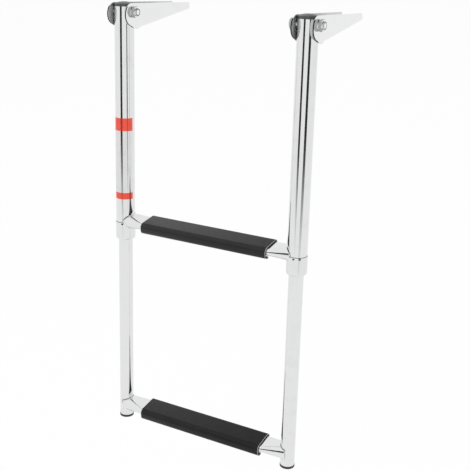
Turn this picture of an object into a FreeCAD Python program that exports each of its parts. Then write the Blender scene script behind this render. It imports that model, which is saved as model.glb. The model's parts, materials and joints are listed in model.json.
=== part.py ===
import FreeCAD, Part
import math
import os

from FreeCAD import Placement, Rotation, Vector

# A two-step telescopic boat ladder on a pair of folded platform brackets.
# Millimetres, +Z up, +X along the treads, -Y out over the water, +Y in over the platform.
# The origin is on the underside of the left bracket, midway between its two bolt holes.

# Whole ladder
upright_spacing = 256.0  # between the axes of the two uprights
lean = 8.2  # degrees that the uprights lean out over the water

# Outer tubes of the upper section
outer_od = 25.4
outer_wall = 1.2
outer_length = 285.6
pivot_below_top = 6.8  # bolt axis below the tube's top end

# Collars and bushes
collar_od = 26.5
collar_length = 25.0
collar_shoulder = 1.4  # radius of the rounded top edge
collar_lip_radius = 2.9  # of the rounded bottom edge
collar_lip_height = 3.0  # thickness of the lip that holds the bush in
collar_lip_gap = 0.3  # radial, between the lip and the inner tube
spigot_length = 15.0  # part of the collar inside the outer tube
spigot_wall = 0.6
slide_bush_length = 18.0
slide_bush_lip = 1.5  # covers the end of the inner tube
running_clearance = 0.1  # radial, in the sliding and turning fits
rest_gap = 0.3  # between pieces that stop against each other

# Inner tubes of the lower section
inner_od = 19.0
inner_wall = 1.2
inner_length = 324.0

# Plastic ends
top_cap_height = 5.8
top_cap_edge = 3.4  # height of the straight rim
top_plug_wall = 2.0
foot_cap_od = 19.6
foot_cap_edge = 3.0
foot_cap_height = 4.6
foot_plug_depth = 14.0
foot_plug_wall = 2.0

# Treads: a steel tube, round at both ends and pressed flat under a clip-on cover
tread_round_od = 22.0
tread_flat_depth = 29.4
tread_flat_height = 8.6
tread_flat_radius = 4.0
tread_tube_wall = 1.2
tread_least_corner = 0.5  # inside corner radius where the tube is pressed flat
tread_end_flat = 0.05  # half the flat left in the round ends, so that they keep eight edges
upper_tread_above_seam = 1.0  # tread axis above the outer tubes' lower ends, along the upright
lower_tread_above_foot = 17.2  # tread axis above the inner tubes' lower ends, along the upright
cover_length = 185.0
cover_wall = 1.7
cover_fit = 0.15  # between the cover and the steel
cover_front = 17.0  # nose in front of the upright axis
cover_back = 17.8
cover_nose_radius = 6.4
cover_lip = 2.4  # flat part of the front lip under the tread
cover_back_height = 7.9
cover_back_radius = 5.0
cover_back_lip = 3.6
cover_edge_round = 0.8
cover_groove_radius = 0.55  # half-round grooves along the nose
cover_groove_angles = (15.0, 68.0)  # degrees above the front of the nose

# Folded brackets
bracket_sheet = 1.5
bracket_side_gap = 0.35  # between the outer tube and each ear
bracket_reach = 134.5  # from the pivot to the back end
bracket_bend = 2.0  # inside radius
pivot_height = 22.7  # above the underside of the base
nose_radius = 13.9
nose_ahead = 3.4  # centre of the nose arc in front of the pivot
nose_drop = 2.4  # centre of the nose arc below the pivot
ear_heel = 2.8  # foremost point of the ear's lower edge behind the pivot
ear_tail_height = 10.0
ear_tail_round = 3.0
bolt_hole = 6.5
bolt_hole_pitch = 60.0
bolt_hole_front = 42.0  # first bolt hole behind the pivot

# Pivot bolts
pivot_bolt = 8.0
bolt_chamfer = 0.8
pivot_hex = 13.0  # across the flats
pivot_head_height = 7.0
washer_od = 13.0
washer_thickness = 0.8
nut_hex_height = 4.3
nut_height = 5.6
nut_collar_od = 10.4
nut_collar_round = 1.0
bolt_end = 0.3  # thread showing past the nut

# Worked out from the sizes above
outer_radius = outer_od / 2
outer_bore_radius = outer_radius - outer_wall
inner_radius = inner_od / 2
collar_radius = collar_od / 2
spigot_bore_radius = outer_bore_radius - spigot_wall
guide_bore_radius = inner_radius + running_clearance
bolt_radius = pivot_bolt / 2
bolt_hole_radius = bolt_radius + running_clearance
top_plug_depth = pivot_below_top - bolt_radius - rest_gap
bracket_inner_half = outer_radius + bracket_side_gap
bracket_outer_half = bracket_inner_half + bracket_sheet
pivot_y = -(bolt_hole_front + bolt_hole_pitch / 2)
slide_bush_bottom = -outer_length + spigot_length + rest_gap
inner_top = slide_bush_bottom + slide_bush_length
inner_bottom = inner_top - inner_length
upper_tread_below_top = outer_length - upper_tread_above_seam
lower_tread_below_top = -inner_bottom - lower_tread_above_foot
collar_bottom = -outer_length - collar_length
spigot_top = -outer_length + spigot_length
span_centre = upright_spacing / 2
overrun = 5.0  # how far cutting tools run past what they cut
fillet_share = 0.85  # most of a wall that a rounded edge may take

X_AXIS = Vector(1, 0, 0)
Y_AXIS = Vector(0, 1, 0)
Z_AXIS = Vector(0, 0, 1)
ORIGIN = Vector(0, 0, 0)

# Ladder pieces are drawn with the uprights vertical and z = 0 at the top of the outer tubes.
hang = Placement(Vector(0, pivot_y, pivot_height), Rotation(X_AXIS, -lean)).multiply(
    Placement(Vector(0, 0, pivot_below_top), Rotation()))


def put(shape, placement):
    moved = shape.copy()
    moved.Placement = placement.multiply(shape.Placement)
    return moved


def hung(shape, x):
    return put(shape, hang.multiply(Placement(Vector(x, 0, 0), Rotation())))


def save(shape, name):
    shape.exportStep("parts/" + name + ".step")


def turned(points, arcs):
    """A solid of revolution about Z from (radius, z) points; arcs maps a point's index to the
    middle point of the arc that runs from it to the next one."""
    edges = []
    count = len(points)
    for index in range(count):
        start = Vector(points[index][0], 0, points[index][1])
        end = Vector(points[(index + 1) % count][0], 0, points[(index + 1) % count][1])
        if index in arcs:
            middle = Vector(arcs[index][0], 0, arcs[index][1])
            edges.append(Part.Arc(start, middle, end).toShape())
        else:
            edges.append(Part.makeLine(start, end))
    return Part.Face(Part.Wire(edges)).revolve(ORIGIN, Z_AXIS, 360)


def quarter(centre, radius, angle):
    """A point on a circle in the (radius, z) plane, at an angle in degrees from +radius."""
    turn = math.radians(angle)
    return centre[0] + radius * math.cos(turn), centre[1] + radius * math.sin(turn)


# Uprights


def cylinder_x(radius, length, x, y, z):
    return Part.makeCylinder(radius, length, Vector(x, y, z), X_AXIS)


def outer_tube():
    tube = Part.makeCylinder(outer_radius, outer_length, Vector(0, 0, -outer_length))
    bore = Part.makeCylinder(outer_bore_radius, outer_length + 2 * overrun,
                             Vector(0, 0, -outer_length - overrun))
    pivot = cylinder_x(bolt_hole_radius, outer_od + 2 * overrun,
                       -outer_radius - overrun, 0, -pivot_below_top)
    return tube.cut(bore).cut(pivot)


def inner_tube():
    tube = Part.makeCylinder(inner_radius, inner_length, Vector(0, 0, inner_bottom))
    bore = Part.makeCylinder(inner_radius - inner_wall, inner_length + 2 * overrun,
                             Vector(0, 0, inner_bottom - overrun))
    return tube.cut(bore)


def collar():
    top = -outer_length
    lip_bore_radius = inner_radius + collar_lip_gap
    shoulder_radius = min(collar_shoulder, fillet_share * (collar_radius - outer_bore_radius))
    lip_radius = min(collar_lip_radius, fillet_share * (collar_radius - lip_bore_radius))
    shoulder = (collar_radius - shoulder_radius, top - shoulder_radius)
    lip = (collar_radius - lip_radius, collar_bottom + lip_radius)
    points = [
        (spigot_bore_radius, spigot_top),
        (outer_bore_radius, spigot_top),
        (outer_bore_radius, top),
        (shoulder[0], top),
        (collar_radius, shoulder[1]),
        (collar_radius, lip[1]),
        (lip[0], collar_bottom),
        (lip_bore_radius, collar_bottom),
        (lip_bore_radius, collar_bottom + collar_lip_height),
        (spigot_bore_radius, collar_bottom + collar_lip_height),
    ]
    return turned(points, {3: quarter(shoulder, shoulder_radius, 45),
                           5: quarter(lip, lip_radius, -45)})


def guide_bush():
    bottom = collar_bottom + collar_lip_height
    return turned([(guide_bore_radius, spigot_top), (spigot_bore_radius, spigot_top),
                   (spigot_bore_radius, bottom), (guide_bore_radius, bottom)], {})


def slide_bush():
    outside = outer_bore_radius - running_clearance
    lip_top = inner_top + slide_bush_lip
    return turned([(inner_radius, slide_bush_bottom), (outside, slide_bush_bottom),
                   (outside, lip_top), (inner_radius - inner_wall, lip_top),
                   (inner_radius - inner_wall, inner_top), (inner_radius, inner_top)], {})


def dome(rim_radius, rim_z, crown_z):
    """Middle point of the shallow arc from a rim to its crown on the axis."""
    rise = abs(crown_z - rim_z)
    ball = (rim_radius ** 2 + rise ** 2) / (2 * rise)
    fall = ball - math.sqrt(ball ** 2 - (rim_radius / 2) ** 2)
    return rim_radius / 2, crown_z - math.copysign(fall, crown_z - rim_z)


def top_cap():
    plug_radius = outer_bore_radius
    points = [
        (0, top_cap_height),
        (outer_radius, top_cap_edge),
        (outer_radius, 0),
        (plug_radius, 0),
        (plug_radius, -top_plug_depth),
        (plug_radius - top_plug_wall, -top_plug_depth),
        (plug_radius - top_plug_wall, 0),
        (0, 0),
    ]
    return turned(points, {0: dome(outer_radius, top_cap_edge, top_cap_height)})


def foot_cap():
    plug_radius = inner_radius - inner_wall
    rim = inner_bottom - foot_cap_edge
    bottom = inner_bottom - foot_cap_height
    points = [
        (0, bottom),
        (0, inner_bottom),
        (plug_radius - foot_plug_wall, inner_bottom),
        (plug_radius - foot_plug_wall, inner_bottom + foot_plug_depth),
        (plug_radius, inner_bottom + foot_plug_depth),
        (plug_radius, inner_bottom),
        (foot_cap_od / 2, inner_bottom),
        (foot_cap_od / 2, rim),
    ]
    return turned(points, {7: dome(foot_cap_od / 2, rim, bottom)})


# Treads


def tread_section(x, depth, height, radius):
    """A rounded rectangle across the tread at x, with the same eight edges at any size."""
    flat_y = depth / 2 - radius
    flat_z = height / 2 - radius
    middle = radius * math.sqrt(0.5)
    edges = []
    corners = [(1, 1), (-1, 1), (-1, -1), (1, -1)]
    for index, (sy, sz) in enumerate(corners):
        along_z = Vector(x, sy * (flat_y + radius), sz * flat_z)
        along_y = Vector(x, sy * flat_y, sz * (flat_z + radius))
        first, second = (along_z, along_y) if index % 2 == 0 else (along_y, along_z)
        bulge = Vector(x, sy * (flat_y + middle), sz * (flat_z + middle))
        edges.append(Part.Arc(first, bulge, second).toShape())
        next_y, next_z = corners[(index + 1) % 4]
        if index % 2 == 0:
            after = Vector(x, next_y * flat_y, next_z * (flat_z + radius))
        else:
            after = Vector(x, next_y * (flat_y + radius), next_z * flat_z)
        edges.append(Part.makeLine(second, after))
    return Part.Wire(edges)


def tread_body(inset, end_half):
    """The tread tube's outside, made smaller by inset: round, flattening, flat, and back."""
    round_size = tread_round_od - 2 * inset
    flat_sizes = (tread_flat_depth - 2 * inset, tread_flat_height - 2 * inset,
                  max(tread_flat_radius - inset, tread_least_corner))
    round_sizes = (round_size, round_size, round_size / 2 - tread_end_flat)
    flat_half = cover_length / 2
    stations = [(-end_half, round_sizes), (-flat_half, flat_sizes),
                (flat_half, flat_sizes), (end_half, round_sizes)]
    wires = [tread_section(x, *sizes) for x, sizes in stations]
    return Part.makeLoft(wires, True, True)


def tread_placement(below_top):
    """A level tread at its place down the leaning uprights."""
    middle = hang.multVec(Vector(span_centre, 0, -below_top))
    return Placement(middle, Rotation())


def tread_tube(below_top, seats):
    end_half = span_centre
    tube = tread_body(0, end_half).cut(tread_body(tread_tube_wall, end_half))
    tube = put(tube, tread_placement(below_top))
    for radius, top, bottom in seats:
        for x in (0, upright_spacing):
            seat = Part.makeCylinder(radius, top - bottom, Vector(0, 0, bottom))
            tube = tube.cut(hung(seat, x))
    return tube


def tread_cover():
    """A clip-on cover about the flattened tube, whose axis is at y = 0, z = 0."""
    top = tread_flat_height / 2 + cover_fit + cover_wall
    nose_y = -cover_front + cover_nose_radius
    nose_bottom = top - 2 * cover_nose_radius
    lip_y = nose_y + cover_lip
    back_bottom = top - cover_back_height
    round_y = cover_back - cover_back_radius
    bulge = cover_back_radius * math.sqrt(0.5)

    def at(y, z):
        return Vector(-cover_length / 2, y, z)

    outline = Part.Wire([
        Part.Arc(at(nose_y, top), at(-cover_front, top - cover_nose_radius),
                 at(nose_y, nose_bottom)).toShape(),
        Part.makeLine(at(nose_y, nose_bottom), at(lip_y, nose_bottom)),
        Part.makeLine(at(lip_y, nose_bottom), at(lip_y, 0)),
        Part.makeLine(at(lip_y, 0), at(cover_back - cover_back_lip, back_bottom)),
        Part.makeLine(at(cover_back - cover_back_lip, back_bottom),
                      at(cover_back - cover_edge_round, back_bottom)),
        Part.makeLine(at(cover_back - cover_edge_round, back_bottom),
                      at(cover_back, back_bottom + cover_edge_round)),
        Part.makeLine(at(cover_back, back_bottom + cover_edge_round),
                      at(cover_back, top - cover_back_radius)),
        Part.Arc(at(cover_back, top - cover_back_radius),
                 at(round_y + bulge, top - cover_back_radius + bulge),
                 at(round_y, top)).toShape(),
        Part.makeLine(at(round_y, top), at(nose_y, top)),
    ])
    cover = Part.Face(outline).extrude(Vector(cover_length, 0, 0))
    cavity = Part.Face(tread_section(-cover_length / 2 - overrun,
                                     tread_flat_depth + 2 * cover_fit,
                                     tread_flat_height + 2 * cover_fit,
                                     tread_flat_radius + cover_fit))
    cover = cover.cut(cavity.extrude(Vector(cover_length + 2 * overrun, 0, 0)))
    for angle in cover_groove_angles:
        groove_y = nose_y - cover_nose_radius * math.cos(math.radians(angle))
        groove_z = top - cover_nose_radius * (1 - math.sin(math.radians(angle)))
        cover = cover.cut(cylinder_x(cover_groove_radius, cover_length + 2 * overrun,
                                     -cover_length / 2 - overrun, groove_y, groove_z))
    return cover


# Brackets and pivot bolts, drawn with the pivot at x = 0, y = 0 and the base underside at z = 0


def tangent_point(outside, centre, radius, side):
    """Where a line from an outside point touches a circle, on the side given by the sign."""
    away_y = outside[0] - centre[0]
    away_z = outside[1] - centre[1]
    distance = math.hypot(away_y, away_z)
    turn = math.atan2(away_z, away_y) + side * math.acos(radius / distance)
    return centre[0] + radius * math.cos(turn), centre[1] + radius * math.sin(turn)


def rounded(before, corner, after, radius):
    """Start, middle and end of the arc that rounds a corner between two straight edges."""
    def towards(point):
        length = math.hypot(point[0] - corner[0], point[1] - corner[1])
        return (point[0] - corner[0]) / length, (point[1] - corner[1]) / length

    back = towards(before)
    on = towards(after)
    half = math.acos(back[0] * on[0] + back[1] * on[1]) / 2
    reach = radius / math.tan(half)
    inward = math.hypot(back[0] + on[0], back[1] + on[1])
    depth = radius / math.sin(half) - radius
    middle = (corner[0] + depth * (back[0] + on[0]) / inward,
              corner[1] + depth * (back[1] + on[1]) / inward)
    start = (corner[0] + reach * back[0], corner[1] + reach * back[1])
    end = (corner[0] + reach * on[0], corner[1] + reach * on[1])
    return start, middle, end


def ear_outline():
    centre = (-nose_ahead, pivot_height - nose_drop)
    heel = (ear_heel, 0)
    tail_top = (bracket_reach, ear_tail_height)
    under = tangent_point(heel, centre, nose_radius, -1)
    over = tangent_point(tail_top, centre, nose_radius, 1)
    front = (centre[0] - nose_radius, centre[1])
    tail_foot = (bracket_reach, 0)
    tail_radius = min(ear_tail_round, fillet_share * ear_tail_height)
    tail = rounded(over, tail_top, tail_foot, tail_radius)

    def at(point):
        return Vector(-bracket_outer_half, point[0], point[1])

    return Part.Wire([
        Part.makeLine(at(heel), at(under)),
        Part.Arc(at(under), at(front), at(over)).toShape(),
        Part.makeLine(at(over), at(tail[0])),
        Part.Arc(at(tail[0]), at(tail[1]), at(tail[2])).toShape(),
        Part.makeLine(at(tail[2]), at(tail_foot)),
        Part.makeLine(at(tail_foot), at(heel)),
    ])


def long_edges(shape, z):
    """The edges along Y at height z."""
    found = []
    for edge in shape.Edges:
        box = edge.BoundBox
        if box.YLength > overrun and abs(box.ZMin - z) < 0.01 and abs(box.ZMax - z) < 0.01:
            if box.XLength < 0.01:
                found.append(edge)
    return found


def base_front():
    """The base's front edge, which stops the hanging tube: behind the tube at plate height."""
    drop = pivot_height - bracket_sheet
    axis_y = -drop * math.tan(math.radians(lean))
    return axis_y + outer_radius / math.cos(math.radians(lean)) + rest_gap


def bracket():
    """A channel whose base and bends stop behind the tube, where its ears run on flat."""
    height = pivot_height + nose_radius + overrun
    front = -nose_ahead - nose_radius - overrun
    step = base_front()
    back = bracket_reach + overrun
    bent = Part.makeBox(2 * bracket_outer_half, back - step, height,
                        Vector(-bracket_outer_half, step, 0))
    bent = bent.makeFillet(bracket_bend + bracket_sheet, long_edges(bent, 0))
    flat = Part.makeBox(2 * bracket_outer_half, step - front, height,
                        Vector(-bracket_outer_half, front, 0))
    inside = Part.makeBox(2 * bracket_inner_half, back - front + 2 * overrun, height,
                          Vector(-bracket_inner_half, front - overrun, bracket_sheet))
    inside = inside.makeFillet(bracket_bend, long_edges(inside, bracket_sheet))
    relief = Part.makeBox(2 * bracket_inner_half, step - front, height,
                          Vector(-bracket_inner_half, front, 0))
    ears = Part.Face(ear_outline()).extrude(Vector(2 * bracket_outer_half, 0, 0))
    folded = bent.fuse(flat).cut(inside).cut(relief).common(ears)
    for number in range(2):
        hole_y = bolt_hole_front + number * bolt_hole_pitch
        folded = folded.cut(Part.makeCylinder(bolt_hole / 2, bracket_sheet + 2 * overrun,
                                              Vector(0, hole_y, -overrun)))
    pivot = cylinder_x(bolt_hole_radius, 2 * bracket_outer_half + 2 * overrun,
                       -bracket_outer_half - overrun, 0, pivot_height)
    return folded.cut(pivot)


def hexagon(across_flats, height, x, outward):
    """A hexagonal head or nut from x outwards, its outer corners turned off at 30 degrees."""
    corner = across_flats / math.sqrt(3)
    flat = across_flats / 2
    turned_off = (corner - flat) * math.tan(math.radians(30))
    points = []
    for number in range(7):
        turn = math.radians(60 * number + 30)
        points.append(Vector(corner * math.cos(turn), corner * math.sin(turn), 0))
    prism = Part.Face(Part.makePolygon(points)).extrude(Vector(0, 0, height))
    envelope = turned([(0, 0), (corner, 0), (corner, height - turned_off), (flat, height),
                       (0, height)], {})
    return put(prism.common(envelope),
               Placement(Vector(x, 0, pivot_height), Rotation(Y_AXIS, 90 * outward)))


def pivot_bolt_shape():
    head = hexagon(pivot_hex, pivot_head_height, -bracket_outer_half, -1)
    shank_end = bracket_outer_half + washer_thickness + nut_height + bolt_end
    length = shank_end + bracket_outer_half
    shank = turned([(0, 0), (bolt_radius, 0), (bolt_radius, length - bolt_chamfer),
                    (bolt_radius - bolt_chamfer, length), (0, length)], {})
    shank = put(shank, Placement(Vector(-bracket_outer_half, 0, pivot_height),
                                 Rotation(Y_AXIS, 90)))
    return head.fuse(shank)


def washer():
    x = bracket_outer_half
    disc = cylinder_x(washer_od / 2, washer_thickness, x, 0, pivot_height)
    return disc.cut(cylinder_x(bolt_hole_radius, washer_thickness + 2 * overrun,
                               x - overrun, 0, pivot_height))


def lock_nut():
    x = bracket_outer_half + washer_thickness
    body = hexagon(pivot_hex, nut_hex_height, x, 1)
    crown = (nut_collar_od / 2 - nut_collar_round, nut_height - nut_collar_round)
    ring = turned([(0, 0), (nut_collar_od / 2, 0), (nut_collar_od / 2, crown[1]),
                   (crown[0], nut_height), (0, nut_height)],
                  {2: quarter(crown, nut_collar_round, 45)})
    ring = put(ring, Placement(Vector(x, 0, pivot_height), Rotation(Y_AXIS, 90)))
    hole = cylinder_x(bolt_radius, nut_height + 2 * overrun, x - overrun, 0, pivot_height)
    return body.fuse(ring).cut(hole)


def bracketed(shape, x):
    return put(shape, Placement(Vector(x, pivot_y, 0), Rotation()))


def main():
    os.makedirs("parts", exist_ok=True)
    for side, x in (("left", 0), ("right", upright_spacing)):
        save(bracketed(bracket(), x), side + "_bracket")
        save(bracketed(pivot_bolt_shape(), x), side + "_pivot_bolt")
        save(bracketed(washer(), x), side + "_washer")
        save(bracketed(lock_nut(), x), side + "_lock_nut")
        save(hung(outer_tube(), x), side + "_outer_tube")
        save(hung(top_cap(), x), side + "_top_cap")
        save(hung(collar(), x), side + "_collar")
        save(hung(guide_bush(), x), side + "_guide_bush")
        save(hung(inner_tube(), x), side + "_inner_tube")
        save(hung(slide_bush(), x), side + "_slide_bush")
        save(hung(foot_cap(), x), side + "_foot_cap")
    upper_seats = [(outer_radius, 0, -outer_length),
                   (collar_radius, -outer_length, collar_bottom)]
    lower_seats = [(inner_radius, inner_top, inner_bottom)]
    save(tread_tube(upper_tread_below_top, upper_seats), "upper_tread_tube")
    save(tread_tube(lower_tread_below_top, lower_seats), "lower_tread_tube")
    save(put(tread_cover(), tread_placement(upper_tread_below_top)), "upper_tread_cover")
    save(put(tread_cover(), tread_placement(lower_tread_below_top)), "lower_tread_cover")


main()
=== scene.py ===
import json
import math

import bmesh
import bpy
from mathutils import Matrix, Vector


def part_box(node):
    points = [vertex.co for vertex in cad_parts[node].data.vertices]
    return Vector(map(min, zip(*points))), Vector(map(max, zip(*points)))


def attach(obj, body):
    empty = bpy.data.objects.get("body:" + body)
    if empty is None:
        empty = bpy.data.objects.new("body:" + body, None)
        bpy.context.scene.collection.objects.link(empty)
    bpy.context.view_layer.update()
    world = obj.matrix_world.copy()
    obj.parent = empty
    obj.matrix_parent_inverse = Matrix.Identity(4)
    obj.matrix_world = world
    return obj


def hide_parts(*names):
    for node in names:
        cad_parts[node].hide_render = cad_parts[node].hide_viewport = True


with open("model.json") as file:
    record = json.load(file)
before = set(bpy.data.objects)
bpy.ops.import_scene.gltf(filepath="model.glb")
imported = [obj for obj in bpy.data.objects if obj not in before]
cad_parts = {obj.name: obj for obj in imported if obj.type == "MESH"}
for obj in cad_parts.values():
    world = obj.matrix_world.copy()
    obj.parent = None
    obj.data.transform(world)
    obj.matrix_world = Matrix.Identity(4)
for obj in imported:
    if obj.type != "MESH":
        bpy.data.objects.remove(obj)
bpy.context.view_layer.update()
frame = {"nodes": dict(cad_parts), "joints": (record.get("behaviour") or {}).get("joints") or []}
nodes = frame["nodes"]
joints = {joint["name"]: joint for joint in frame["joints"]}
scene = bpy.context.scene
scene.view_settings.view_transform = "Standard"
print("frame loaded:", len(nodes), "nodes")

mm = 0.001
swing = Vector(joints["ladder_swing"]["pos_m"])
upright = Vector(joints["lower_section_slide"]["axis"]).normalized()  # up along the tubes
lean = math.asin(upright.y)
leanTurn = (-lean, 0.0, 0.0)  # turns a pattern to lie along the uprights
leftAxis = Vector((0.0, swing.y, swing.z))  # where the left pivot crosses its tube
span = 2 * swing.x  # between the two uprights
sides = {"left": 0.0, "right": span}
levels = {"upper": "upper_section", "lower": "lower_section"}  # the body of each level
white = (1.0, 1.0, 1.0, 1.0)


def middleOf(name):
    low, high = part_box(name)
    return (low + high) / 2


def widthOf(name):
    low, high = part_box(name)
    return high.x - low.x


def alongTube(x, below):
    # the frame of an upright: z up along the tube, and its origin this far below the pivot
    turn = Matrix.Rotation(-lean, 4, "X")
    return Matrix.Translation((x, swing.y, swing.z)) @ turn @ Matrix.Translation((0, 0, -below))


def outerTubeEnd():
    # how far below the pivot an outer tube's lower end is, along the upright
    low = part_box("left_outer_tube")[0]
    radius = widthOf("left_outer_tube") / 2
    return (swing.z - low.z - radius * math.sin(lean)) / math.cos(lean)


# camera, at the photograph's angle
cameraAt = {
    "place": (0.67177, -0.9951, 0.24477),
    "turn": (67.221, 2.398, 28.468),  # degrees about X, Y and Z
    "lens": 68.003,                   # mm
    "sensor": 36.0,                   # mm
    "shiftY": -0.095745,
    "clip": (0.01, 50.0),
}


def addCamera():
    data = bpy.data.cameras.new("camera")
    data.lens = cameraAt["lens"]
    data.sensor_width = cameraAt["sensor"]
    data.shift_y = cameraAt["shiftY"]
    data.clip_start, data.clip_end = cameraAt["clip"]
    ob = bpy.data.objects.new("camera", data)
    ob.location = cameraAt["place"]
    ob.rotation_euler = [math.radians(angle) for angle in cameraAt["turn"]]
    scene.collection.objects.link(ob)
    scene.camera = ob


addCamera()


# shader maths: an expression on wires adds its own Math nodes
class Wire:
    def __init__(self, graph, socket):
        self.graph = graph
        self.socket = socket

    def maths(self, operation, *values):
        settings = {"operation": operation}
        return self.graph.wire("Math", settings, dict(enumerate(values)))

    def __add__(self, other):
        return self.maths("ADD", self, other)

    def __radd__(self, other):
        return self.maths("ADD", other, self)

    def __sub__(self, other):
        return self.maths("SUBTRACT", self, other)

    def __rsub__(self, other):
        return self.maths("SUBTRACT", other, self)

    def __mul__(self, other):
        return self.maths("MULTIPLY", self, other)

    def __rmul__(self, other):
        return self.maths("MULTIPLY", other, self)

    def __gt__(self, other):
        return self.maths("GREATER_THAN", self, other)

    def __lt__(self, other):
        return self.maths("LESS_THAN", self, other)

    def __abs__(self):
        return self.maths("ABSOLUTE", self)

    def __neg__(self):
        return self.maths("MULTIPLY", self, -1.0)

    def larger(self, other):
        return self.maths("MAXIMUM", self, other)

    def distance(self, other):
        # how far from the origin a point with these two coordinates is
        return self.maths("SQRT", self * self + other * other)

    def ripples(self, step):
        # from 0 to 1 and back, once in each step
        return self.maths("SINE", self * (math.tau / step)) * 0.5 + 0.5

    def ramp(self, low, high, kind="SMOOTHSTEP"):
        sockets = {"Value": self, "From Min": low, "From Max": high}
        return self.graph.wire("MapRange", {"interpolation_type": kind}, sockets)


class Graph:
    def __init__(self, tree):
        self.tree = tree
        tree.nodes.clear()

    def node(self, kind, settings, sockets):
        node = self.tree.nodes.new("ShaderNode" + kind)
        for name, value in settings.items():
            setattr(node, name, value)
        for name, value in sockets.items():
            if isinstance(value, Wire):
                self.tree.links.new(value.socket, node.inputs[name])
            else:
                node.inputs[name].default_value = value
        return node

    def wire(self, kind, settings, sockets, output=0):
        return Wire(self, self.node(kind, settings, sockets).outputs[output])

    def mix(self, mask, first, second):
        # a colour mix: its sockets 6 and 7 are the colours, and output 2 the result
        return self.wire("Mix", {"data_type": "RGBA"}, {0: mask, 6: first, 7: second}, 2)

    def place(self, at=(0.0, 0.0, 0.0), turn=(0.0, 0.0, 0.0), stretch=(1.0, 1.0, 1.0)):
        coords = self.wire("TexCoord", {}, {}, "Object")
        sockets = {"Vector": coords, "Location": at, "Rotation": turn, "Scale": stretch}
        return self.wire("Mapping", {"vector_type": "TEXTURE"}, sockets)

    def split(self, vector):
        node = self.node("SeparateXYZ", {}, {0: vector})
        return [Wire(self, output) for output in node.outputs]

    def facing(self):
        # which way the surface looks, along X, Y and Z
        return self.split(self.wire("TexCoord", {}, {}, "Normal"))

    def noise(self, coords, scale, detail=3.0, rough=0.6):
        sockets = {"Vector": coords, "Scale": scale, "Detail": detail, "Roughness": rough}
        return self.wire("TexNoise", {}, sockets)

    def bump(self, height, depth):
        return self.wire("Bump", {}, {"Height": height, "Distance": depth, "Strength": 1.0})

    def seen(self):
        # 1 where the camera looks, be it directly, in a mirror or through glass
        rays = self.node("LightPath", {}, {}).outputs
        direct = Wire(self, rays["Is Camera Ray"])
        mirrored = Wire(self, rays["Is Glossy Ray"])
        through = Wire(self, rays["Is Transmission Ray"])
        return direct.larger(mirrored).larger(through)

    def surface(self, sockets):
        shader = self.wire("BsdfPrincipled", {}, sockets)
        self.node("OutputMaterial", {}, {"Surface": shader})


def newMaterial(name):
    material = bpy.data.materials.new(name)
    material.use_nodes = True
    return material, Graph(material.node_tree)


# polished stainless steel: lengthwise buffing marks, faint smears and duller worn patches
steel = {
    "light": (0.775, 0.778, 0.781, 1.0),
    "dull": (0.70, 0.703, 0.706, 1.0),
    "roughness": 0.045,
    "buffing": 0.03,        # added roughness along the buffing marks
    "smears": 0.05,         # added roughness where it has been handled
    "markSize": 900.0,      # marks per metre across the piece
    "markStretch": 40.0,    # how much longer than wide the marks are
    "markDepth": 0.0015 * mm,
    "smearSize": 22.0,      # smears per metre
    "smearRange": (0.45, 0.75),
    "wearSize": 60.0,
    "wearRange": (0.5, 0.8),
}


def steelMaterial(name, turn, stretch):
    material, graph = newMaterial(name)
    marks = graph.noise(graph.place(turn=turn, stretch=stretch), steel["markSize"])
    smears = graph.noise(graph.place(), steel["smearSize"]).ramp(*steel["smearRange"])
    worn = graph.noise(graph.place(turn=turn), steel["wearSize"], 4.0, 0.55)
    worn = worn.ramp(*steel["wearRange"])
    graph.surface({
        "Base Color": graph.mix(worn * 0.6 + marks * 0.2, steel["light"], steel["dull"]),
        "Metallic": 1.0,
        "Roughness": steel["roughness"] + marks * steel["buffing"] + smears * steel["smears"],
        "Normal": graph.bump(marks, steel["markDepth"]),
    })
    return material


# folded sheet: polished outside, satin inside, and painted shade on the ears' cut edges that
# look forwards and down
sheet = {
    "light": (0.84, 0.843, 0.846, 1.0),
    "dull": (0.79, 0.793, 0.796, 1.0),
    "roughness": 0.05,
    "smearSize": 30.0,
    "inside": (0.66, 0.662, 0.665, 1.0),   # the satin of the sheet as it was rolled
    "insideAt": 2.0 * mm,   # an ear's inner face is further than this from the upright's axis
    "satin": 0.18,          # added roughness inside the channel
    # painted shade: a dark colour on the cut edges where they look forwards and down
    "edgeShadeColour": (0.016, 0.016, 0.017, 1.0),
    "edgeShadeFacing": (0.05, 0.3),  # how far forwards and down an edge looks before it takes the painted shade
    "edgeShadeSide": 0.8,         # and how little sideways
    "edgeLow": 3.0 * mm,    # above the bends the ears' edges begin
    "edgeFade": 0.4 * mm,
}


def sheetMaterial(name, x):
    material, graph = newMaterial(name)
    along = graph.place(stretch=(1.0, steel["markStretch"], 1.0))
    marks = graph.noise(along, steel["markSize"])
    smears = graph.noise(graph.place(), sheet["smearSize"]).ramp(*steel["smearRange"])
    facing = graph.facing()
    spot = graph.split(graph.place(at=(x, 0.0, 0.0)))
    inside = (spot[0] * facing[0]) < -sheet["insideAt"]
    sideways = abs(facing[0]) < sheet["edgeShadeSide"]
    forward = (-facing[1] - facing[2] * 0.5).ramp(*sheet["edgeShadeFacing"])
    onEar = spot[2].ramp(sheet["edgeLow"], sheet["edgeLow"] + sheet["edgeFade"])
    # painted shade: the ears' cut edges that look forwards and down are coloured dark
    edgeShade = sideways * forward * onEar
    colour = graph.mix(marks * 0.3 + smears * 0.3, sheet["light"], sheet["dull"])
    colour = graph.mix(inside, colour, sheet["inside"])
    polish = sheet["roughness"] + marks * 0.02 + smears * 0.03
    graph.surface({
        "Base Color": graph.mix(edgeShade, colour, sheet["edgeShadeColour"]),
        "Metallic": 1.0 - inside * 0.2,
        "Roughness": polish + inside * sheet["satin"] + edgeShade * 0.3,
        "Normal": graph.bump(marks, steel["markDepth"]),
    })
    return material


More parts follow.
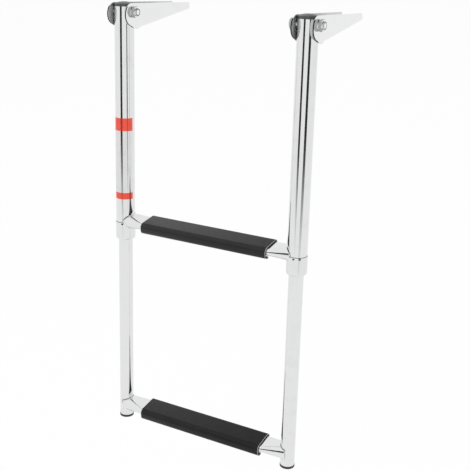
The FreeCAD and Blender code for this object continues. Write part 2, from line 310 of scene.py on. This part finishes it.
# turned collars: polished, with a softly rolled shoulder and a dark joint line under the tube
collar = {
    "jointWidth": 0.78 * mm,
    "jointSoft": 0.6,       # share of the width that is full dark
    "jointShade": (0.05, 0.05, 0.05, 1.0),
    "shoulder": (0.9 * mm, 3.3 * mm),   # where the shoulder starts and ends, below the joint
    "shoulderDepth": 0.38 * mm,
    "markStretch": 6.0,     # round the collar, as the lathe left them
    "smearSize": 40.0,
}


def collarMaterial(name, x):
    material, graph = newMaterial(name)
    at = alongTube(x, outerTubeEnd()).translation
    around = (collar["markStretch"], collar["markStretch"], 1.0)
    marks = graph.noise(graph.place(at, leanTurn, around), steel["markSize"])
    smears = graph.noise(graph.place(), collar["smearSize"]).ramp(*steel["smearRange"])
    colour = graph.mix(marks * 0.3 + smears * 0.4, steel["light"], steel["dull"])
    down = -graph.split(graph.place(at, leanTurn))[2]
    joint = 1.0 - down.ramp(collar["jointWidth"] * collar["jointSoft"], collar["jointWidth"])
    roll = down.ramp(*collar["shoulder"], "LINEAR") * collar["shoulderDepth"]
    graph.surface({
        "Base Color": graph.mix(joint, colour, collar["jointShade"]),
        "Metallic": 1.0,
        "Roughness": steel["roughness"] + smears * 0.03 + joint * 0.2,
        "Normal": graph.bump(roll + marks * steel["markDepth"], 1.0),
    })
    return material


# bright bolts, washers and nuts: polished faces, and painted shade on the flats and rims,
# darkest where a face looks up or down
fastener = {
    "light": (0.86, 0.863, 0.866, 1.0),
    "dull": (0.62, 0.625, 0.63, 1.0),
    # painted shade for the faces that look up or down rather than along the bolt
    "flat": (0.15, 0.153, 0.157, 1.0),
    "flatShadeShare": 0.85,      # how much of that painted shade a level flat takes
    "rimShare": 0.08,       # and an upright one
    "endFacing": (0.35, 0.85),
    "flatFacing": (0.15, 0.75),
    "roughness": 0.12,
    "ringStep": 0.35 * mm,  # between the lathe marks on the end faces
    "ringDepth": 0.004 * mm,
    "stainSize": 260.0,
    "stainRange": (0.4, 0.8),
}


def fastenerMaterial(name, x):
    material, graph = newMaterial(name)
    spot = graph.split(graph.place(at=(x, swing.y, swing.z)))
    rings = spot[1].distance(spot[2]).ripples(fastener["ringStep"])
    stains = graph.noise(graph.place(), fastener["stainSize"]).ramp(*fastener["stainRange"])
    facing = graph.facing()
    ends = abs(facing[0]).ramp(*fastener["endFacing"])
    upOrDown = abs(facing[2]).ramp(*fastener["flatFacing"])
    # painted shade by which way a face looks: dark on flats that look up or down, a little on
    # the rims
    paintedFlatShade = (1.0 - ends) * (upOrDown * fastener["flatShadeShare"] + fastener["rimShare"])
    bright = graph.mix(stains * 0.4 + rings * 0.1, fastener["light"], fastener["dull"])
    graph.surface({
        "Base Color": graph.mix(paintedFlatShade, bright, fastener["flat"]),
        "Metallic": 1.0,
        "Roughness": fastener["roughness"] + stains * 0.08 + rings * 0.03,
        "Normal": graph.bump(rings, fastener["ringDepth"]),
    })
    return material


# moulded plastics, each with a fine spark-eroded grain and scuffs: dark grey caps, black feet,
# pale nylon bushes, and the locking rings of the nuts, whose dark grey is painted shade round
# the bolt's end
plastics = {
    "cap": {"colour": (0.055, 0.055, 0.058, 1.0), "scuffed": (0.13, 0.13, 0.135, 1.0),
            "roughness": 0.34, "grain": 1900.0, "grainDepth": 0.02 * mm},
    "foot": {"colour": (0.014, 0.014, 0.015, 1.0), "scuffed": (0.05, 0.05, 0.052, 1.0),
             "roughness": 0.38, "grain": 1700.0, "grainDepth": 0.02 * mm},
    "bush": {"colour": (0.72, 0.71, 0.67, 1.0), "scuffed": (0.55, 0.54, 0.50, 1.0),
             "roughness": 0.42, "grain": 1500.0, "grainDepth": 0.01 * mm},
    # painted shade: the locking ring's dark grey stands in for the shade round the bolt's end
    "insert": {"colour": (0.16, 0.16, 0.17, 1.0), "scuffed": (0.24, 0.24, 0.25, 1.0),
               "roughness": 0.4, "grain": 1500.0, "grainDepth": 0.01 * mm},
}
scuffSize = 240.0  # scuffs per metre
scuffRange = (0.52, 0.78)


def plasticMaterial(name):
    values = plastics[name]
    material, graph = newMaterial(name + "_plastic")
    coords = graph.place()
    grain = graph.noise(coords, values["grain"])
    scuffs = graph.noise(coords, scuffSize, 4.0, 0.65).ramp(*scuffRange)
    graph.surface({
        "Base Color": graph.mix(scuffs * 0.5, values["colour"], values["scuffed"]),
        "Roughness": values["roughness"] + scuffs * 0.12,
        "Normal": graph.bump(grain, values["grainDepth"]),
    })
    return material


def dress(name, material):
    data = nodes[name].data
    data.materials.clear()
    data.materials.append(material)


def dressNodes():
    tubeSteel = steelMaterial("tube_steel", leanTurn, (1.0, 1.0, steel["markStretch"]))
    treadSteel = steelMaterial("tread_steel", (0.0, 0.0, 0.0), (steel["markStretch"], 1.0, 1.0))
    capPlastic = plasticMaterial("cap")
    footPlastic = plasticMaterial("foot")
    bushPlastic = plasticMaterial("bush")
    for side, x in sides.items():
        bright = fastenerMaterial(side + "_fastener_steel", x)
        for part in ("pivot_bolt", "washer", "lock_nut"):
            dress(side + "_" + part, bright)
        for part in ("outer_tube", "inner_tube"):
            dress(side + "_" + part, tubeSteel)
        for part in ("guide_bush", "slide_bush"):
            dress(side + "_" + part, bushPlastic)
        dress(side + "_top_cap", capPlastic)
        dress(side + "_foot_cap", footPlastic)
        dress(side + "_collar", collarMaterial(side + "_collar_steel", x))
        dress(side + "_bracket", sheetMaterial(side + "_sheet_steel", x))
    for level in levels:
        dress(level + "_tread_tube", treadSteel)


dressNodes()
print("nodes dressed")


# how the new meshes are finished
meshing = {
    "merge": 0.001 * mm,
    "sharp": 36.0,          # degrees between two faces, past which their edge stays sharp
}


def placeMesh(name, mesh, material):
    data = bpy.data.meshes.new(name)
    mesh.to_mesh(data)
    mesh.free()
    data.materials.append(material)
    ob = bpy.data.objects.new(name, data)
    scene.collection.objects.link(ob)
    return ob


def addPiece(name, mesh, body, material, smooth=True):
    bmesh.ops.remove_doubles(mesh, verts=mesh.verts, dist=meshing["merge"])
    bmesh.ops.recalc_face_normals(mesh, faces=mesh.faces)
    for face in mesh.faces:
        face.smooth = smooth
    ob = placeMesh(name, mesh, material)
    if smooth:
        ob.data.set_sharp_from_angle(angle=math.radians(meshing["sharp"]))
    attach(ob, body)
    return ob


def roundOff(mesh, geom, radius, steps, affect="VERTICES"):
    bmesh.ops.bevel(mesh, geom=geom, offset=radius, segments=steps, profile=0.5,
                    affect=affect, material=-1)


def only(kind, geom):
    return [item for item in geom if isinstance(item, kind)]


# charcoal tread covers: extruded, with fine ribs along them, a painted highlight along the right
# end's edges, painted shade on the sawn face and a painted highlight round the port
cover = {
    "top": (0.007, 0.007, 0.0072, 1.0),
    "worn": (0.018, 0.018, 0.018, 1.0),
    # painted highlight along the edges of the right end
    "rim": (0.42, 0.42, 0.42, 1.0),
    "rimWidth": 0.7 * mm,
    # painted shade: the sawn right end is darker than the rest of the cover
    "sawnFaceShade": (0.004, 0.004, 0.004, 1.0),
    "roll": (0.085, 0.085, 0.085, 1.0),  # painted highlight: a grey ring round the port that stands in for a rolled lip
    "portHighlightDeep": 0.1 * mm,
    "roughness": 0.40,
    "shine": {"upper": 0.31, "lower": 0.20},
    "ribStep": 1.25 * mm,
    "ribDepth": 0.06 * mm,
    "drawSize": 700.0,        # drawing marks per metre across the cover
    "drawStretch": 60.0,
    "drawDepth": 0.012 * mm,
    "dustSize": 45.0,
    "dustRange": (0.42, 0.8),
    "topFacing": (0.75, 0.98),
    "sawnFacing": (0.8, 0.95),
    "tall": {"upper": 15.2 * mm, "lower": 16.5 * mm},  # from the top down to the front lip
    "nose": 6.4 * mm,
    "skin": 1.7 * mm,         # over the tread
    "frontWall": 2.15 * mm,
    "lipWall": 2.0 * mm,
    "lip": 8.8 * mm,          # from the front back to the lip's edge
    "lipRound": 0.7 * mm,
    "inside": 4.15 * mm,      # corners round the tread's edges
    "backWall": 2.95 * mm,
    "backTall": 7.9 * mm,
    "backRound": 5.0 * mm,
    "endRound": 0.28 * mm,
    "grooves": (15.0, 68.0),  # degrees above the front of the nose
    "grooveWidth": 0.5 * mm,
    "grooveDepth": 0.35 * mm,
    "port": (-3.6 * mm, -2.0 * mm),  # middle of the small port, from the top of the back edge
    "portRadius": 0.75 * mm,
    "portSides": 24,
    "portDepth": 9.0 * mm,
    "portHighlightRing": 2.6 * mm,
}


def portAt(level):
    portY, portZ = cover["port"]
    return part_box(level + "_tread_cover")[1] + Vector((0.0, portY, portZ))


def coverMaterial(level):
    material, graph = newMaterial(level + "_cover_plastic")
    coords = graph.place()
    facing = graph.facing()
    ribs = graph.split(coords)[1].ripples(cover["ribStep"])
    onTop = facing[2].ramp(*cover["topFacing"])
    draw = graph.noise(graph.place(stretch=(cover["drawStretch"], 1.0, 1.0)), cover["drawSize"])
    dust = graph.noise(coords, cover["dustSize"], 4.0).ramp(*cover["dustRange"])
    past, behind, above = graph.split(graph.place(at=portAt(level)))
    # painted shade on the sawn face at the right end
    sawnFaceShade = facing[0].ramp(*cover["sawnFacing"])
    # painted highlight: a pale line along the edges of the right end, off the end face
    rim = (past > -cover["rimWidth"]) * (1.0 - sawnFaceShade)
    # painted highlight: a grey ring round the port on the flat end face, in place of a rolled
    # lip
    roll = sawnFaceShade * (behind.distance(above) < cover["portHighlightRing"]) * (past > -cover["portHighlightDeep"])
    colour = graph.mix(dust * 0.5 + draw * 0.3, cover["top"], cover["worn"])
    colour = graph.mix(sawnFaceShade, colour, cover["sawnFaceShade"])
    colour = graph.mix(roll, colour, cover["roll"])
    height = ribs * onTop * cover["ribDepth"] + draw * cover["drawDepth"]
    graph.surface({
        "Base Color": graph.mix(rim, colour, cover["rim"]),
        "Roughness": cover["roughness"] + dust * 0.08 + sawnFaceShade * 0.2,
        "Normal": graph.bump(height, 1.0),
        "Specular IOR Level": cover["shine"][level],
    })
    return material


def coverOutline(mesh, low, high, tall):
    # the section, drawn at the cover's left end: round the nose, under the lip and back inside
    front, back, top = low.y, high.y, high.z
    bottom = top - tall
    lip = front + cover["lip"]
    inFront = front + cover["frontWall"]
    inBack = back - cover["backWall"]
    inTop = top - cover["skin"]
    corners = [  # y, z, radius and steps
        (front, top, cover["nose"], 28),
        (front, bottom, cover["nose"], 28),
        (lip, bottom, cover["lipRound"], 4),
        (lip, bottom + cover["lipWall"], cover["lipRound"], 4),
        (inFront, bottom + cover["lipWall"], cover["inside"], 12),
        (inFront, inTop, cover["inside"], 12),
        (inBack, inTop, cover["inside"], 12),
        (inBack, top - cover["backTall"], cover["lipRound"], 4),
        (back, top - cover["backTall"], cover["lipRound"], 4),
        (back, top, cover["backRound"], 20),
    ]
    verts = [mesh.verts.new((low.x, corner[0], corner[1])) for corner in corners]
    mesh.faces.new(verts)
    for vert, corner in zip(verts, corners):
        roundOff(mesh, [vert], corner[2], corner[3])


def endFaces(mesh):
    # the two flat ends are the only faces with more than four corners
    return [face for face in mesh.faces if len(face.verts) > 4]


def pressGrooves(mesh, low, high):
    # two fine grooves along the nose
    noseAt = Vector((0.0, low.y + cover["nose"], high.z - cover["nose"]))
    for angle in cover["grooves"]:
        turn = math.radians(angle)
        outwards = Vector((0.0, -math.cos(turn), math.sin(turn)))
        middle = noseAt + outwards * cover["nose"]
        for vert in mesh.verts:
            away = Vector((0.0, vert.co.y, vert.co.z)) - middle
            share = 1.0 - (away.length / cover["grooveWidth"]) ** 2
            if share > 0:
                vert.co -= outwards * share * cover["grooveDepth"]


def borePort(mesh, at):
    # a blind hole in the right end, near its back edge
    end = max(endFaces(mesh), key=lambda face: face.calc_center_median().x)
    outline = end.edges[:]
    bmesh.ops.delete(mesh, geom=[end], context="FACES_ONLY")
    turn = Matrix.Translation(at) @ Matrix.Rotation(math.pi / 2, 4, "Y")
    ring = bmesh.ops.create_circle(mesh, cap_ends=False, segments=cover["portSides"],
                                   radius=cover["portRadius"], matrix=turn)["verts"]
    mouth = [edge for edge in mesh.edges if edge.verts[0] in ring and edge.verts[1] in ring]
    bmesh.ops.triangle_fill(mesh, edges=outline + mouth, use_beauty=True)
    sunk = bmesh.ops.extrude_edge_only(mesh, edges=mouth)["geom"]
    bmesh.ops.translate(mesh, verts=only(bmesh.types.BMVert, sunk),
                        vec=(-cover["portDepth"], 0.0, 0.0))
    floor = [edge for edge in only(bmesh.types.BMEdge, sunk) if edge.is_boundary]
    bmesh.ops.edgeloop_fill(mesh, edges=floor)


def addCover(level, body):
    node = level + "_tread_cover"
    low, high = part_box(node)
    mesh = bmesh.new()
    coverOutline(mesh, low, high, cover["tall"][level])
    grown = bmesh.ops.extrude_face_region(mesh, geom=mesh.faces[:])["geom"]
    bmesh.ops.translate(mesh, verts=only(bmesh.types.BMVert, grown),
                        vec=(high.x - low.x, 0.0, 0.0))
    rims = [edge for end in endFaces(mesh) for edge in end.edges]
    roundOff(mesh, rims, cover["endRound"], 2, "EDGES")
    pressGrooves(mesh, low, high)
    borePort(mesh, portAt(level))
    piece = addPiece(level + "_tread_grip", mesh, body, coverMaterial(level))
    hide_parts(node)


for coverLevel, coverBody in levels.items():
    addCover(coverLevel, coverBody)
print("covers added")


# a clear film wrapped round the left outer tube, with a plain red band at each end
sticker = {
    "radius": 12.7 * mm,
    "gap": 0.01 * mm,
    "thick": 0.08 * mm,
    "top": 136.3 * mm,       # below the pivot
    "length": 109.9 * mm,
    "turn": (-50.0, 84.0),   # degrees round the tube from the outer side
    "steps": 44,
    "topBand": 17.0 * mm,
    "bottomBand": 9.0 * mm,
    "red": (0.80, 0.075, 0.045, 1.0),
    "redWorn": (0.82, 0.20, 0.16, 1.0),
    "film": (0.74, 0.742, 0.744, 1.0),
    "filmWorn": (0.62, 0.622, 0.625, 1.0),
    "roughness": 0.06,
    "fadeSize": 420.0,
    "fadeDepth": 0.01 * mm,
    "wearSize": 90.0,
}


def stickerMaterial():
    material, graph = newMaterial("sticker_film")
    coords = graph.place(alongTube(0.0, sticker["top"]).translation, leanTurn)
    down = -graph.split(coords)[2]
    bottom = sticker["length"] - sticker["bottomBand"]
    bands = (down < sticker["topBand"]).larger(down > bottom)
    fade = graph.noise(coords, sticker["fadeSize"])
    worn = graph.noise(coords, sticker["wearSize"], 4.0).ramp(*steel["smearRange"])
    red = graph.mix(fade * 0.25 + worn * 0.4, sticker["red"], sticker["redWorn"])
    film = graph.mix(fade * 0.2 + worn * 0.5, sticker["film"], sticker["filmWorn"])
    graph.surface({
        "Base Color": graph.mix(bands, film, red),
        "Metallic": 1.0 - bands * 0.4,
        "Roughness": sticker["roughness"] + fade * 0.03 + worn * 0.04,
        "Normal": graph.bump(fade, sticker["fadeDepth"]),
    })
    return material


def addSticker():
    mesh = bmesh.new()
    radius = sticker["radius"] + sticker["gap"]
    top = mesh.verts.new((0.0, -radius, 0.0))
    low = mesh.verts.new((0.0, -radius, -sticker["length"]))
    edge = mesh.edges.new((top, low))
    start, end = [math.radians(angle) for angle in sticker["turn"]]
    turn = Matrix.Rotation(start, 3, "Z")
    bmesh.ops.rotate(mesh, verts=mesh.verts, cent=(0, 0, 0), matrix=turn)
    bmesh.ops.spin(mesh, geom=[top, low, edge], cent=(0, 0, 0), axis=(0, 0, 1),
                   angle=end - start, steps=sticker["steps"], use_merge=False)
    bmesh.ops.recalc_face_normals(mesh, faces=mesh.faces)
    bmesh.ops.solidify(mesh, geom=mesh.faces[:], thickness=-sticker["thick"])
    bmesh.ops.transform(mesh, matrix=alongTube(0.0, sticker["top"]), verts=mesh.verts)
    addPiece("tube_sticker", mesh, "upper_section", stickerMaterial(), False)


addSticker()


# the locking ring pressed into each nut's mouth, round the bolt's end, in a dark grey that is
# painted shade there
insert = {
    "inner": 3.55 * mm,
    "outer": 4.7 * mm,
    "proud": 0.22 * mm,
    "sunk": 0.4 * mm,
    "edge": 0.1 * mm,
    "edgeSteps": 3,
    "steps": 48,
}


def addInserts():
    material = plasticMaterial("insert")
    for side in sides:
        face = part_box(side + "_lock_nut")[1].x
        mesh = bmesh.new()
        corners = [
            (face - insert["sunk"], insert["inner"]),
            (face + insert["proud"], insert["inner"]),
            (face + insert["proud"], insert["outer"]),
            (face - insert["sunk"], insert["outer"]),
        ]
        ring = [mesh.verts.new((at, swing.y, swing.z + radius)) for at, radius in corners]
        profile = mesh.faces.new(ring)
        roundOff(mesh, profile.verts[:], insert["edge"], insert["edgeSteps"])
        outline = mesh.edges[:] + mesh.verts[:]
        bmesh.ops.delete(mesh, geom=mesh.faces[:], context="FACES_ONLY")
        bmesh.ops.spin(mesh, geom=outline, cent=(0, swing.y, swing.z), axis=(1, 0, 0),
                       angle=math.tau, steps=insert["steps"], use_merge=True)
        addPiece(side + "_nut_insert", mesh, "brackets", material)


addInserts()


# polished weld beads where the treads are saddled onto the uprights, each with a dark line at
# its foot: oxide at the toe, and painted shade in the crease, darker on the upper tread and only
# above the tread's axis
weld = {
    # out is over the upright from where the two tubes meet, and lift is along the tread
    "bead": {"radius": 0.62 * mm, "out": 0.16 * mm, "lift": 0.16 * mm},
    "foot": {"radius": 0.36 * mm, "out": 0.90 * mm, "lift": -0.18 * mm},
    "points": 96,
    "sideSteps": 3,
    "rounds": 4,             # how many times a point is brought nearer to where the tubes meet
    "ripples": 58,
    "rippleDepth": 0.10,
    "light": (0.86, 0.863, 0.866, 1.0),
    "heated": (0.66, 0.645, 0.62, 1.0),
    "heatSize": 120.0,
    "heatRange": (0.45, 0.7),
    "roughness": 0.08,
    "cloudSize": 380.0,
    "cloudDepth": 0.01 * mm,
    # the foot's dark line: oxide, and painted shade in the crease, darker on the upper tread
    # than the lower
    "toeOxideAndShade": {"upper": (0.05, 0.05, 0.052, 1.0), "lower": (0.30, 0.30, 0.302, 1.0)},
    "toeShadeAt": 9.0 * mm,     # from the upright's axis, where the tread is measured for it
    "toeShadeFrom": 0.62,       # share of the way out to the foot's middle
    "toeShadeFade": 1.5 * mm,   # either side of the tread's axis, below which there is none
    "roundAt": 22.0 * mm,    # the tread's diameter at the uprights' axes
    "flatTall": 8.6 * mm,    # and its height and depth where it is pressed flat
    "flatDeep": 29.4 * mm,
}


def treadSize(level, away):
    # half the tread tube's depth and height, this far from the upright's axis
    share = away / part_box(level + "_tread_cover")[0].x
    tall = weld["roundAt"] * (1.0 - share) + weld["flatTall"] * share
    deep = weld["roundAt"] * (1.0 - share) + weld["flatDeep"] * share
    return deep / 2, tall / 2


def weldMaterial(level):
    middle = middleOf(level + "_tread_tube")
    deepHalf, tallHalf = treadSize(level, weld["toeShadeAt"])
    reach = tallHalf + weld["foot"]["out"] * weld["toeShadeFrom"]
    material, graph = newMaterial(level + "_weld_steel")
    spot = graph.split(graph.place(at=(0.0, middle.y, middle.z)))
    deep = (abs(spot[1]) - (deepHalf - tallHalf)).larger(0.0)
    above = spot[2].ramp(-weld["toeShadeFade"], weld["toeShadeFade"])
    # the foot line takes the dark colour above the tread's axis: oxide, and painted shade in the
    # crease
    foot = (deep.distance(spot[2]) > reach) * above
    coords = graph.place()
    cloud = graph.noise(coords, weld["cloudSize"], 4.0)
    heat = graph.noise(coords, weld["heatSize"], 2.0, 0.5).ramp(*weld["heatRange"])
    bright = graph.mix(heat * 0.3, weld["light"], weld["heated"])
    graph.surface({
        "Base Color": graph.mix(foot, bright, weld["toeOxideAndShade"][level]),
        "Metallic": 1.0,
        "Roughness": weld["roughness"] + cloud * 0.08 + foot * 0.35,
        "Normal": graph.bump(cloud, weld["cloudDepth"]),
    })
    return material


def rimReach(turn, deep, tall, out):
    # from the middle of a section with two flat sides to its rim, this far round from the top
    sine, cosine = abs(math.sin(turn)), abs(math.cos(turn))
    bend, flat = tall + out, deep - tall
    if bend * sine < flat * cosine:
        return bend / cosine
    return flat * sine + math.sqrt(bend ** 2 - (flat * cosine) ** 2)


def saddleLine(line, level, x, inward, bead):
    # a closed line round the end of a tread, where its tube meets the upright
    axis = middleOf(level + "_tread_tube")
    seatWidth = widthOf("left_outer_tube" if level == "upper" else "left_inner_tube")
    collarWidth = widthOf("left_collar")
    seam = -outerTubeEnd()
    spline = line.splines.new("POLY")
    spline.points.add(weld["points"] - 1)
    spline.use_cyclic_u = True
    for number, point in enumerate(spline.points):
        turn = math.tau * (number + 0.5) / weld["points"]
        away = seatWidth / 2
        for _ in range(weld["rounds"]):
            deep, tall = treadSize(level, away)
            reach = rimReach(turn, deep, tall, bead["out"])
            y = axis.y + reach * math.sin(turn)
            z = axis.z + reach * math.cos(turn)
            spot = Vector((0.0, y, z)) - leftAxis
            off = spot.y * math.cos(lean) - spot.z * math.sin(lean)
            onCollar = level == "upper" and spot.dot(upright) < seam
            width = collarWidth if onCollar else seatWidth
            away = math.sqrt(max(width ** 2 / 4 - off ** 2, 0.0))
        point.co = (x + inward * (away + bead["lift"]), y, z, 1.0)
        ripple = 1.0 + weld["rippleDepth"] * math.sin(weld["ripples"] * turn)
        point.radius = ripple * bead["radius"] / weld["bead"]["radius"]


def addWeld(name, level, x, inward, body, material):
    line = bpy.data.curves.new(name, "CURVE")
    line.dimensions = "3D"
    line.bevel_depth = weld["bead"]["radius"]
    line.bevel_resolution = weld["sideSteps"]
    saddleLine(line, level, x, inward, weld["bead"])
    saddleLine(line, level, x, inward, weld["foot"])
    holder = bpy.data.objects.new(name + "_line", line)
    scene.collection.objects.link(holder)
    bpy.context.view_layer.update()
    data = bpy.data.meshes.new_from_object(holder)
    bpy.data.objects.remove(holder)
    mesh = bmesh.new()
    mesh.from_mesh(data)
    addPiece(name, mesh, body, material)


def addWelds():
    for level, body in levels.items():
        material = weldMaterial(level)
        addWeld(level + "_left_weld", level, 0.0, 1.0, body, material)
        addWeld(level + "_right_weld", level, span, -1.0, body, material)


addWelds()
print("sticker, nut inserts and welds added")


# studio: a white surround, a pale floor, soft lamps, and dark flags that only the steel mirrors
studio = {
    "ambient": 0.78,
    "floorDrop": 0.20,        # below the feet
    "floorSize": 14.0,
    "floorShade": 0.08,       # share of the floor's colour that takes shadows
    "paper": (0.92, 0.92, 0.92, 1.0),
    "aimHeight": -0.25,       # where the lamps point, between the uprights
    "flagDark": 0.03,         # the flags' darkest shade
}

lamps = {
    "key": {"at": (-0.7, -1.3, 1.9), "size": 1.6, "power": 24.0},
    "fill": {"at": (1.9, -0.9, 0.9), "size": 2.0, "power": 10.0},
}

# the flags stand upright and may slant along the foot: its two ends, how high the flag stands
# above it, and how far up from it the flag fades in
flags = {
    "high": {"start": (1.45, 0.05, 0.85), "end": (-0.30, 1.50, 0.85),
             "tall": 1.7, "fade": 0.05},
    "wide": {"start": (-0.68, -2.20, -0.62), "end": (0.165, -1.61, -0.62),
             "tall": 0.95, "fade": 0.37},
    "near": {"start": (0.455, -0.402, -0.42), "end": (1.50, -0.75, -0.65),
             "tall": 1.1, "fade": 0.30},
}


def addSurround():
    world = bpy.data.worlds.new("studio")
    scene.world = world
    world.use_nodes = True
    graph = Graph(world.node_tree)
    ambient = graph.wire("Background", {}, {"Color": white, "Strength": studio["ambient"]})
    backdrop = graph.wire("Background", {}, {"Color": white, "Strength": 1.0})
    both = graph.wire("MixShader", {}, {0: graph.seen(), 1: ambient, 2: backdrop})
    graph.node("OutputWorld", {}, {"Surface": both})


def addFloor():
    material, graph = newMaterial("floor_paper")
    paper = graph.wire("BsdfDiffuse", {}, {"Color": studio["paper"]})
    glow = graph.wire("Emission", {}, {"Color": white, "Strength": 1.0})
    share = graph.seen() * (1.0 - studio["floorShade"])
    both = graph.wire("MixShader", {}, {0: share, 1: paper, 2: glow})
    graph.node("OutputMaterial", {}, {"Surface": both})
    feet = min(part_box(side + "_foot_cap")[0].z for side in sides)
    mesh = bmesh.new()
    bmesh.ops.create_grid(mesh, x_segments=1, y_segments=1, size=studio["floorSize"] / 2)
    bmesh.ops.translate(mesh, verts=mesh.verts, vec=(span / 2, 0.0, feet - studio["floorDrop"]))
    placeMesh("floor", mesh, material)


def addLamp(name, lamp):
    data = bpy.data.lights.new(name, "AREA")
    data.shape = "SQUARE"
    data.size = lamp["size"]
    data.energy = lamp["power"]
    ob = bpy.data.objects.new(name, data)
    ob.location = lamp["at"]
    aim = Vector((span / 2, swing.y, studio["aimHeight"])) - Vector(lamp["at"])
    ob.rotation_euler = aim.to_track_quat("-Z", "Y").to_euler()
    ob.visible_glossy = False
    scene.collection.objects.link(ob)


def addFlag(name, flag):
    start = Vector(flag["start"])
    run = Vector(flag["end"]) - start
    heading = math.atan2(run.y, run.x)
    slope = math.atan2(-run.z, math.hypot(run.x, run.y))
    turn = Matrix.Rotation(heading, 4, "Z") @ Matrix.Rotation(slope, 4, "Y")
    material, graph = newMaterial("flag_" + name)
    height = graph.split(graph.place(start, turn.to_euler()))[2]
    strength = 1.0 - height.ramp(0.0, flag["fade"]) * (1.0 - studio["flagDark"])
    glow = graph.wire("Emission", {}, {"Color": white, "Strength": strength})
    graph.node("OutputMaterial", {}, {"Surface": glow})
    mesh = bmesh.new()
    bmesh.ops.create_grid(mesh, x_segments=1, y_segments=1, size=0.5)
    bmesh.ops.translate(mesh, verts=mesh.verts, vec=(0.5, 0.5, 0.0))
    bmesh.ops.scale(mesh, verts=mesh.verts, vec=(run.length, flag["tall"], 1.0))
    standing = Matrix.Rotation(math.pi / 2, 4, "X")
    bmesh.ops.transform(mesh, matrix=Matrix.Translation(start) @ turn @ standing,
                        verts=mesh.verts)
    ob = placeMesh("flag_" + name, mesh, material)
    ob.visible_camera = False
    ob.visible_diffuse = False
    ob.visible_transmission = False
    ob.visible_shadow = False


addSurround()
addFloor()
for lampName, lampValues in lamps.items():
    addLamp(lampName, lampValues)
for flagName, flagValues in flags.items():
    addFlag(flagName, flagValues)
print("studio set")
